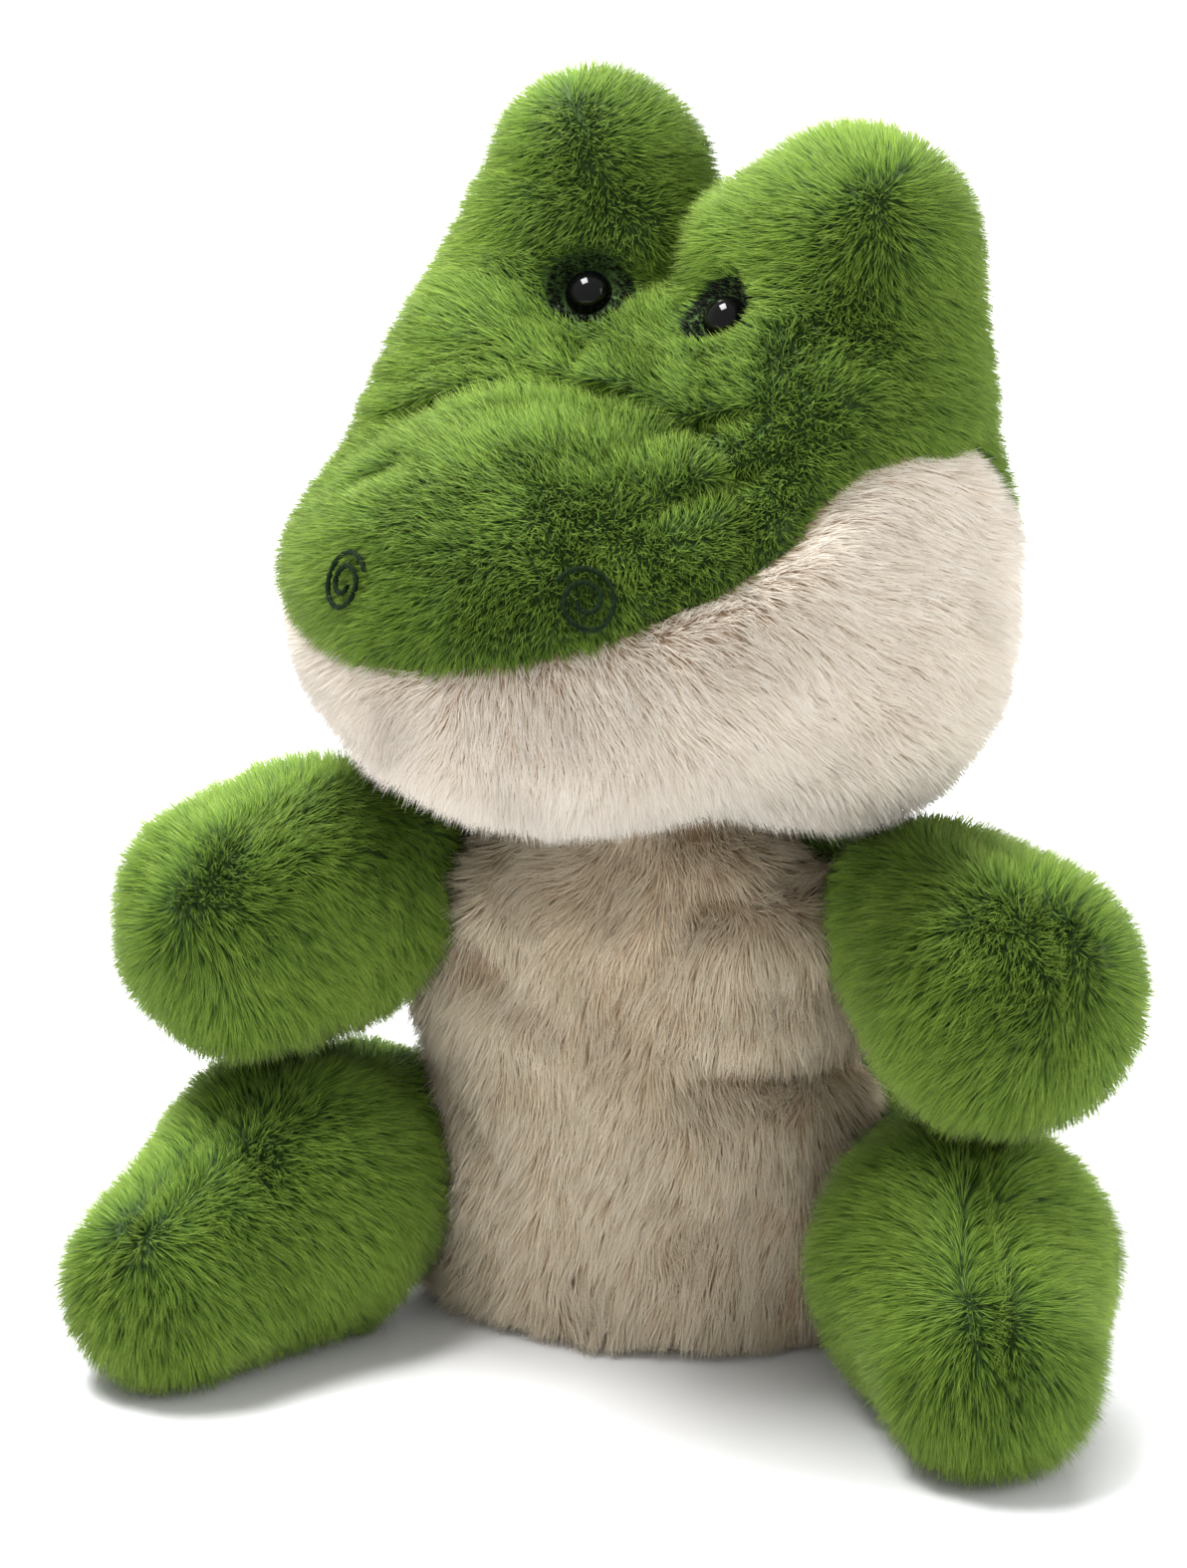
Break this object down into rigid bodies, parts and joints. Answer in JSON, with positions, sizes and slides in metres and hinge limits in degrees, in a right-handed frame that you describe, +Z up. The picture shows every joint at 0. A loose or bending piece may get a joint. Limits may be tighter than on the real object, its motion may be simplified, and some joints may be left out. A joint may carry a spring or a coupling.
{
  "type": "hand puppet",
  "caption": "Sitting plush crocodile glove puppet: open-based cloth sleeve for the hand, stuffed head with tall brows and pale muzzle, stuffed arms, legs and tail.",
  "frame": {"origin": "on the surface that the puppet sits on, under the middle of its bounding box", "axes": "+Z up; the puppet's body faces -Y; +X is the puppet's own left side"},
  "size_m": [0.1848, 0.1778, 0.2242],
  "materials": {
    "green_plush": "long pile plush, tips lighter than the roots",
    "cream_plush": "long pile plush, warm cream",
    "fibre_filling": "loose polyester fibre",
    "green_lining": "thin woven polyester",
    "white_label": "blank satin ribbon",
    "washer_plastic": "moulded, unpolished",
    "black_eye": "polished dome",
    "dark_thread": "embroidery thread"
  },
  "bodies": {
    "torso": {"belly_panel": "cream_plush", "back_panel": "green_plush", "sleeve_lining": "green_lining", "hem_band": "green_lining", "care_label": "white_label"},
    "neck": {"neck_band": "green_lining"},
    "head": {"head_shell": "green_plush", "muzzle_shell": "cream_plush", "head_stuffing": "fibre_filling", "snout_stuffing": "fibre_filling", "head_finger_tube": "green_lining", "brow_left_shell": "green_plush", "brow_left_stuffing": "fibre_filling", "brow_right_shell": "green_plush", "brow_right_stuffing": "fibre_filling", "eye_left": "black_eye", "eye_right": "black_eye", "eye_washer_left": "washer_plastic", "eye_washer_right": "washer_plastic", "nostril_thread_left": "dark_thread", "nostril_thread_right": "dark_thread"},
    "arm_left": {"arm_left_shell": "green_plush", "arm_left_stuffing": "fibre_filling", "arm_left_finger_pocket": "green_lining"},
    "arm_right": {"arm_right_shell": "green_plush", "arm_right_stuffing": "fibre_filling", "arm_right_finger_pocket": "green_lining"},
    "leg_left": {"leg_left_shell": "green_plush", "leg_left_stuffing": "fibre_filling"},
    "leg_right": {"leg_right_shell": "green_plush", "leg_right_stuffing": "fibre_filling"},
    "tail": {"tail_shell": "green_plush", "tail_stuffing": "fibre_filling"}
  },
  "joints": [
    {"name": "head_turn", "type": "hinge", "parent": "torso", "child": "neck", "pos_m": [0, -0.00694, 0.1], "axis": [0, 0, 1], "range_deg": [-26, 54], "stiffness_Nm_per_rad": 0.05},
    {"name": "head_nod", "type": "hinge", "parent": "neck", "child": "head", "pos_m": [0, -0.00694, 0.106], "axis": [0.9703, -0.2419, 0], "range_deg": [-15, 12], "stiffness_Nm_per_rad": 0.25},
    {"name": "arm_left_swing", "type": "hinge", "parent": "torso", "child": "arm_left", "pos_m": [0.05, -0.01594, 0.083], "axis": [0, 0, 1], "range_deg": [-20, 35], "stiffness_Nm_per_rad": 0.02},
    {"name": "arm_right_swing", "type": "hinge", "parent": "torso", "child": "arm_right", "pos_m": [-0.05, -0.01594, 0.083], "axis": [0, 0, -1], "range_deg": [-20, 35], "stiffness_Nm_per_rad": 0.02},
    {"name": "leg_left_swing", "type": "hinge", "parent": "torso", "child": "leg_left", "pos_m": [0.057, -0.01694, 0.0291], "axis": [0, 0, 1], "range_deg": [-5, 40], "stiffness_Nm_per_rad": 0.02},
    {"name": "leg_right_swing", "type": "hinge", "parent": "torso", "child": "leg_right", "pos_m": [-0.053, -0.01694, 0.0291], "axis": [0, 0, -1], "range_deg": [-5, 40], "stiffness_Nm_per_rad": 0.02},
    {"name": "tail_swing", "type": "hinge", "parent": "torso", "child": "tail", "pos_m": [0, 0.03506, 0.017], "axis": [0, 0, 1], "range_deg": [-25, 25], "stiffness_Nm_per_rad": 0.02}
  ]
}
